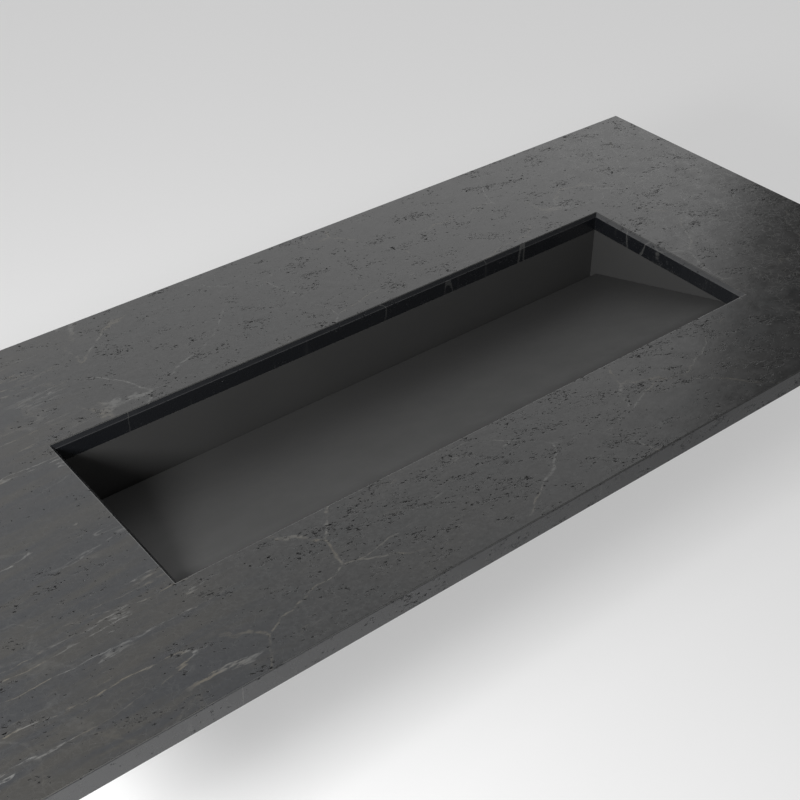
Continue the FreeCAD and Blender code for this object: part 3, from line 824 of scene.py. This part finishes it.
def make_wing_nuts(fittings):
    top = WINGS_HIGH.z
    low = top - HUB_HEIGHT
    bore = STUD_RADIUS + FIT
    hub = turned("clip_wing_nut", [
        (bore, low), (HUB_LOW_RADIUS, low), (HUB_RADIUS, top - fittings.edge * 2), (HUB_RADIUS, top),
        (bore, top), (bore, low)], HUB_STEPS)
    soften(hub, fittings.edge)
    nut = joined([hub, wing(top, 1), wing(top, -1)])
    fit_copies(nut, clip_places(), "clip_wing_nuts", "washtop")


def foot_places():
    length = PANEL_HIGH.x - PANEL_LOW.x
    y = (FEET_LOW.y + FEET_HIGH.y) / 2
    return [((share * length, y, 0), 0.0) for share in FOOT_SHARES]


def make_feet(fittings):
    low, high = FEET_LOW.z, FEET_HIGH.z
    seat = high - FOOT_SPIGOT_LENGTH
    socket = BUMPER_SPIGOT_RADIUS + FIT
    socket_top = BUMPERS_HIGH.z + FIT
    tip, root, spigot = FOOT_TIP_RADIUS, FOOT_ROOT_RADIUS, FOOT_SPIGOT_RADIUS
    foot = turned("ramp_foot", [
        (0, socket_top), (socket, socket_top), (socket, low), (tip, low), (tip, low + BUMPER_THICKNESS),
        (tip - MM / 2, low + 2 * BUMPER_THICKNESS), (root - 2 * MM, seat - 2 * BUMPER_THICKNESS),
        (root, seat - MM), (root, seat), (spigot, seat), (spigot, high), (0, high)])
    soften(foot, fittings.edge)
    fit_copies(foot, foot_places(), "ramp_feet", "ramp")


def make_bumpers(fittings):
    low, high = BUMPERS_LOW.z, BUMPERS_HIGH.z
    rim = low + BUMPER_THICKNESS
    radius, spigot = BUMPER_RADIUS, BUMPER_SPIGOT_RADIUS
    relief, lip = [radius * share for share in BUMPER_RELIEF_SHARES]
    bumper = turned("ramp_bumper", [
        (0, low + MM / 2), (relief, low + MM / 2), (lip, low), (radius - fittings.edge, low),
        (radius, low + fittings.edge), (radius, rim), (spigot, rim), (spigot, high - MM),
        (spigot - MM, high), (0, high)])
    soften(bumper, fittings.edge)
    fit_copies(bumper, foot_places(), "ramp_bumpers", "ramp")


def make_bearing_strips(fittings):
    """Rubber strips with lengthwise ribs on their lower face."""
    low, high = STRIPS_LOW.z, STRIPS_HIGH.z
    groove = low + (high - low) * RIB_HEIGHT_SHARE
    pitch = STRIP_WIDTH / fittings.rib_count
    start = STRIPS_LOW.x
    points = [(0.0, high), (0.0, groove)]
    for rib in range(fittings.rib_count):
        points += [(rib + share, low) for share in RIB_FLAT_SHARES] + [(rib + 1.0, groove)]
    outline = [Vector((start + pitch * ribs, STRIPS_LOW.y, height)) for ribs, height in points]
    outline.append(Vector((start + STRIP_WIDTH, STRIPS_LOW.y, high)))
    strip = extruded("bearing_strip", outline, (0, STRIPS_HIGH.y - STRIPS_LOW.y, 0))
    soften(strip, fittings.edge)
    across = STRIPS_HIGH.x - STRIPS_LOW.x - STRIP_WIDTH
    places = [((0, 0, 0), 0.0), ((across, 0, 0), 0.0)]
    fit_copies(strip, places, "bearing_strips", "washtop")


def make_ledge_strip(fittings):
    """A flat rubber strip with two round beads, which the panel's lip rests on."""
    low, high = LEDGE_LOW.z, LEDGE_HIGH.z
    width = LEDGE_HIGH.y - LEDGE_LOW.y
    web = (high - low) / 2
    bead = width / 6
    points = [(LEDGE_HIGH.y, low), (LEDGE_HIGH.y, low + web)]
    for share in BEAD_SHARES:
        center = (LEDGE_LOW.y + width * share, high - bead)
        lean = math.degrees(math.asin((low + web - center[1]) / bead))
        points += arc(center, bead, lean, 180 - lean, BEAD_ARC_STEPS)
    points += [(LEDGE_LOW.y, low + web), (LEDGE_LOW.y, low)]
    outline = [Vector((LEDGE_LOW.x, y, z)) for y, z in points]
    strip = extruded("ledge_strip_beaded", outline, (LEDGE_HIGH.x - LEDGE_LOW.x, 0, 0))
    soften(strip, fittings.edge / 2)
    fit(strip, "ledge_strip", "washtop")


def make_waste_body(fittings):
    """The flange with its seat, and the threaded tube."""
    low, top = BODY_LOW.z, BODY_HIGH.z
    flange_low = top - BODY_FLANGE_THICKNESS
    seat = top - BODY_SEAT_DEPTH
    root = BODY_RADIUS - BODY_DEPTH_SHARE * fittings.body_pitch
    bore, rim = BODY_BORE_RADIUS, BODY_FLANGE_RADIUS
    half = BODY_FLANGE_THICKNESS / 2
    body = turned("waste_body", [
        (bore, low), (root - MM / 2, low), (root, low + MM / 2), (root, flange_low), (rim, flange_low),
        *arc((rim - half, top - half), half, 0, 90, RIM_ARC_STEPS),
        (BODY_SEAT_RADIUS, top), (BODY_SEAT_RADIUS, seat), (bore, seat), (bore, low)], FINE_STEPS)
    soften(body, fittings.edge / 2)
    ridge = thread_ridge(root, BODY_RADIUS, fittings.body_pitch, low + MM, flange_low - MM, TURN_STEPS)
    body = put(joined([body, ridge]), WASTE_PLACE)
    fit(body, "waste_flange", "washtop")


def make_back_nut(fittings):
    """A hexagon nut with its corners turned down on both faces."""
    low, high = NUT_LOW.z, NUT_HIGH.z
    corner = (NUT_HIGH.x - NUT_LOW.x) / 2
    chamfer = (high - low) / 6
    bpy.ops.object.select_all(action="DESELECT")
    bpy.ops.mesh.primitive_cylinder_add(vertices=NUT_SIDES, radius=corner, depth=high - low,
                                        location=(0, 0, (low + high) / 2))
    nut = bpy.context.object
    nut.name = "waste_nut"
    bpy.ops.object.transform_apply(location=True, rotation=True, scale=True)
    cone = turned("cone", [
        (0, low), (corner - chamfer, low), (corner, low + chamfer), (corner, high - chamfer),
        (corner - chamfer, high), (0, high)], FINE_STEPS)
    combine(nut, cone, "INTERSECT")
    bore = BODY_RADIUS + FIT
    wide = bore + MM
    tool = turned("tool", [
        (0, low - MM), (wide, low - MM), (wide, low), (bore, low + MM), (bore, high - MM),
        (wide, high), (wide, high + MM), (0, high + MM)], FINE_STEPS)
    combine(nut, tool, "DIFFERENCE")
    soften(nut, fittings.edge / 2)
    put(nut, WASTE_PLACE, math.pi / NUT_SIDES)
    fit(nut, "waste_back_nut", "washtop")


def make_waste_rings(fittings):
    soft_edge = fittings.edge * LOWER_SEAL_EDGE_SHARE
    for name, node, slot, radius, low, high, edge in (
            ("waste_seal_upper", "waste_top_seal", "rubber", TOP_SEAL_RADIUS, TOP_SEAL_LOW,
             TOP_SEAL_HIGH, fittings.edge),
            ("waste_seal_lower", "waste_bottom_seal", "rubber", BOTTOM_SEAL_RADIUS, BOTTOM_SEAL_LOW,
             BOTTOM_SEAL_HIGH, soft_edge),
            ("waste_washer", "waste_slip_ring", "plastic", RING_RADIUS, RING_LOW, RING_HIGH,
             fittings.edge)):
        piece = ring(name, radius, BODY_RADIUS + FIT, low.z, high.z, edge)
        fit(put(piece, WASTE_PLACE), node, "washtop")


def make_tailpiece(fittings):
    low, high = TAIL_LOW.z, TAIL_HIGH.z
    shoulder = high - TAIL_SCREW_LENGTH
    screw = BODY_BORE_RADIUS - FIT / 2
    bore, radius = TAIL_BORE_RADIUS, TAIL_RADIUS
    tail = turned("waste_tail", [
        (bore, low), (radius - MM, low), (radius, low + MM), (radius, shoulder), (screw, shoulder),
        (screw, high), (bore, high), (bore, low)], FINE_STEPS)
    soften(tail, fittings.edge)
    fit(put(tail, WASTE_PLACE), "waste_tailpiece", "washtop")


def make_knob(fittings):
    """The turned knob with its stem and the rivet at its lower end."""
    low, high = KNOB_LOW.z, KNOB_HIGH.z
    head = high - KNOB_HEIGHT
    under = low + RIVET_THICKNESS
    cup = under + CUP_WALL
    stem, rivet = STEM_RADIUS, RIVET_RADIUS
    belly = KNOB_HEIGHT / 3
    shoulder, crown = [KNOB_RADIUS * share for share in KNOB_TOP_SHARES]
    knob = turned("strainer_pull", [
        (0, low), (rivet - fittings.edge, low), (rivet, low + fittings.edge), (rivet, under),
        (stem, under), (stem, cup), (rivet, cup), (rivet, cup + RIVET_THICKNESS),
        (stem, cup + RIVET_THICKNESS), (stem, head - MM), (stem + MM, head),
        *arc((KNOB_RADIUS - belly, head + belly), belly, -90, 90, KNOB_ARC_STEPS),
        (shoulder, high - MM / 2), (crown, high), (0, high)])
    soften(knob, fittings.edge / 3)
    fit(put(knob, WASTE_PLACE), "strainer_knob", "strainer")


# Stage

def make_floor(settings):
    bpy.ops.object.select_all(action="DESELECT")
    bpy.ops.mesh.primitive_plane_add(size=FLOOR_SIZE, location=(0, 0, CAD_BOX[0].z - MM / 2))
    floor = bpy.context.object
    floor.name = "floor"
    material, shader = new_material("pale_floor")
    feed(shader.inputs["Base Color"], settings.floor_color)
    feed(shader.inputs["Roughness"], FLOOR_ROUGHNESS)
    glow = add_node(shader, "ShaderNodeEmission", Color=(1, 1, 1), Strength=1.0)
    path = add_node(shader, "ShaderNodeLightPath").outputs
    seen = product(path["Is Camera Ray"], settings.camera_glow)
    surface = shader.outputs["BSDF"].links[0].to_socket
    feed(surface, mix_shaders(seen, shader.outputs["BSDF"], glow.outputs[0]))
    floor.data.materials.append(material)


def make_world(scene, settings):
    """A plain white room for the eye. It lights matt faces evenly and more from behind; gloss shows
    a bright side that is dim overhead, and a front wall."""
    world = bpy.data.worlds.new("soft_room")
    scene.world = world
    world.use_nodes = True
    world.node_tree.nodes.clear()
    path = add_node(world.node_tree, "ShaderNodeLightPath").outputs
    way = add_node(world.node_tree, "ShaderNodeTexCoord").outputs["Generated"]
    side = smooth_step(along(way, settings.bright_side), *SIDE_CHANGE)
    height = smooth_step(along(way, settings.bright_height), *HEIGHT_CHANGE)
    front = smooth_step(along(way, (0, -1, 0)), *FRONT_CHANGE, settings.shade_level,
                        settings.front_level)
    back = smooth_step(along(way, (0, 1, 0)), *BACK_CHANGE, 0.0, settings.back_level)
    levels = (calc("ADD", back, settings.world_level),
              calc("MAXIMUM", product(side, height), front), 1.0)
    room, gloss, white = [add_node(way, "ShaderNodeBackground", (1, 1, 1), level).outputs[0]
                          for level in levels]
    mirrored = calc("MAXIMUM", path["Is Glossy Ray"], path["Is Transmission Ray"])
    surface = mix_shaders(path["Is Camera Ray"], mix_shaders(mirrored, room, gloss), white)
    add_node(way, "ShaderNodeOutputWorld", surface)


def make_light(name, place, size, power, aim):
    data = bpy.data.lights.new(name, "AREA")
    data.shape = "RECTANGLE"
    data.size, data.size_y = size
    data.energy = power
    light = bpy.data.objects.new(name, data)
    bpy.context.scene.collection.objects.link(light)
    light.location = place
    light.visible_camera = False
    light.visible_glossy = False
    light.rotation_euler = (Vector(aim) - light.location).to_track_quat("-Z", "Y").to_euler()


def make_lights(settings):
    middle = (0.0, STONE_LOW.y / 2, 0.0)
    make_light("key_light", settings.key_place, settings.key_size, settings.key_power, middle)
    below = (*settings.ceiling_place[:2], 0.0)
    make_light("ceiling_light", settings.ceiling_place, settings.ceiling_size,
               settings.ceiling_power, below)


def make_camera(scene, settings):
    data = bpy.data.cameras.new("camera")
    data.lens = settings.focal_length
    data.sensor_width = SENSOR_WIDTH
    camera = bpy.data.objects.new("camera", data)
    scene.collection.objects.link(camera)
    azimuth, elevation = settings.azimuth, settings.elevation
    back = Vector((math.sin(azimuth) * math.cos(elevation),
                   -math.cos(azimuth) * math.cos(elevation), math.sin(elevation)))
    camera.location = settings.camera_place
    camera.rotation_euler = back.to_track_quat("Z", "Y").to_euler()
    scene.camera = camera


# Operators

class WASHTOP_OT_stone(bpy.types.Operator):
    """Give the stone top its honed finish"""
    bl_idname = "washtop.stone"
    bl_label = "Stone top"

    def execute(self, context):
        settings = context.scene.washtop_stone
        smooth_copy("stone_top", "stone_slab", "washtop", settings.saw_edge,
                    stone_material(settings), settings.arris)
        return {"FINISHED"}


class WASHTOP_OT_basin(bpy.types.Operator):
    """Give the basin shell and the ramp panel their cast finish"""
    bl_idname = "washtop.basin"
    bl_label = "Basin and ramp"

    def execute(self, context):
        settings = context.scene.washtop_basin
        material = basin_material(settings)
        smooth_copy("basin_shell", "basin_trough", "washtop", settings.arris, material)
        smooth_copy("ramp_panel", "ramp_plate", "ramp", settings.arris, material)
        return {"FINISHED"}


class WASHTOP_OT_underside(bpy.types.Operator):
    """Add the rubber strips under the stone and on the ledge"""
    bl_idname = "washtop.underside"
    bl_label = "Rubber strips"

    def execute(self, context):
        make_bearing_strips(context.scene.washtop_fittings)
        make_ledge_strip(context.scene.washtop_fittings)
        return {"FINISHED"}


class WASHTOP_OT_clips(bpy.types.Operator):
    """Add the studs, brackets, washers and wing nuts that hold the basin"""
    bl_idname = "washtop.clips"
    bl_label = "Clips"

    def execute(self, context):
        fittings = context.scene.washtop_fittings
        make_studs(fittings)
        smooth_copy("clip_brackets", "clip_brackets_pressed", "washtop", fittings.edge)
        make_washers(fittings)
        make_wing_nuts(fittings)
        return {"FINISHED"}


class WASHTOP_OT_ramp_feet(bpy.types.Operator):
    """Add the feet and bumpers of the ramp panel"""
    bl_idname = "washtop.ramp_feet"
    bl_label = "Ramp feet"

    def execute(self, context):
        make_feet(context.scene.washtop_fittings)
        make_bumpers(context.scene.washtop_fittings)
        return {"FINISHED"}


class WASHTOP_OT_waste(bpy.types.Operator):
    """Add the waste with its seals, nut and tailpiece"""
    bl_idname = "washtop.waste"
    bl_label = "Waste"

    def execute(self, context):
        for make in (make_waste_body, make_waste_rings, make_back_nut, make_tailpiece):
            make(context.scene.washtop_fittings)
        return {"FINISHED"}


class WASHTOP_OT_strainer(bpy.types.Operator):
    """Add the strainer basket and its knob"""
    bl_idname = "washtop.strainer"
    bl_label = "Strainer"

    def execute(self, context):
        fittings = context.scene.washtop_fittings
        smooth_copy("strainer_basket", "strainer_basket_pressed", "strainer",
                    fittings.edge / 3)
        make_knob(fittings)
        return {"FINISHED"}


class WASHTOP_OT_stage(bpy.types.Operator):
    """Add the floor, the soft lights and the camera"""
    bl_idname = "washtop.stage"
    bl_label = "Stage"

    def execute(self, context):
        settings = context.scene.washtop_stage
        make_floor(settings)
        make_world(context.scene, settings)
        make_lights(settings)
        make_camera(context.scene, settings)
        context.scene.view_settings.view_transform = "Standard"
        return {"FINISHED"}


class WASHTOP_PT_panel(bpy.types.Panel):
    """Lists the pieces of the washtop"""
    bl_label = "Washtop"
    bl_idname = "WASHTOP_PT_panel"
    bl_space_type = "VIEW_3D"
    bl_region_type = "UI"
    bl_category = "Washtop"

    def draw(self, context):
        for operator in OPERATORS:
            self.layout.operator(operator.bl_idname)


SETTINGS = {
    "washtop_stone": StoneSettings,
    "washtop_basin": BasinSettings,
    "washtop_fittings": FittingSettings,
    "washtop_stage": StageSettings,
}
OPERATORS = (WASHTOP_OT_stone, WASHTOP_OT_basin, WASHTOP_OT_underside, WASHTOP_OT_clips,
             WASHTOP_OT_ramp_feet, WASHTOP_OT_waste, WASHTOP_OT_strainer, WASHTOP_OT_stage)
CLASSES = (*SETTINGS.values(), *OPERATORS, WASHTOP_PT_panel)


def register():
    for kind in CLASSES:
        bpy.utils.register_class(kind)
    for name, group in SETTINGS.items():
        setattr(bpy.types.Scene, name, bpy.props.PointerProperty(type=group))


def unregister():
    for name in SETTINGS:
        delattr(bpy.types.Scene, name)
    for kind in reversed(CLASSES):
        bpy.utils.unregister_class(kind)


def main():
    register()
    bpy.ops.washtop.stone()
    bpy.ops.washtop.basin()
    bpy.ops.washtop.underside()
    bpy.ops.washtop.clips()
    bpy.ops.washtop.ramp_feet()
    bpy.ops.washtop.waste()
    bpy.ops.washtop.strainer()
    bpy.ops.washtop.stage()


if __name__ == "__main__":
    main()
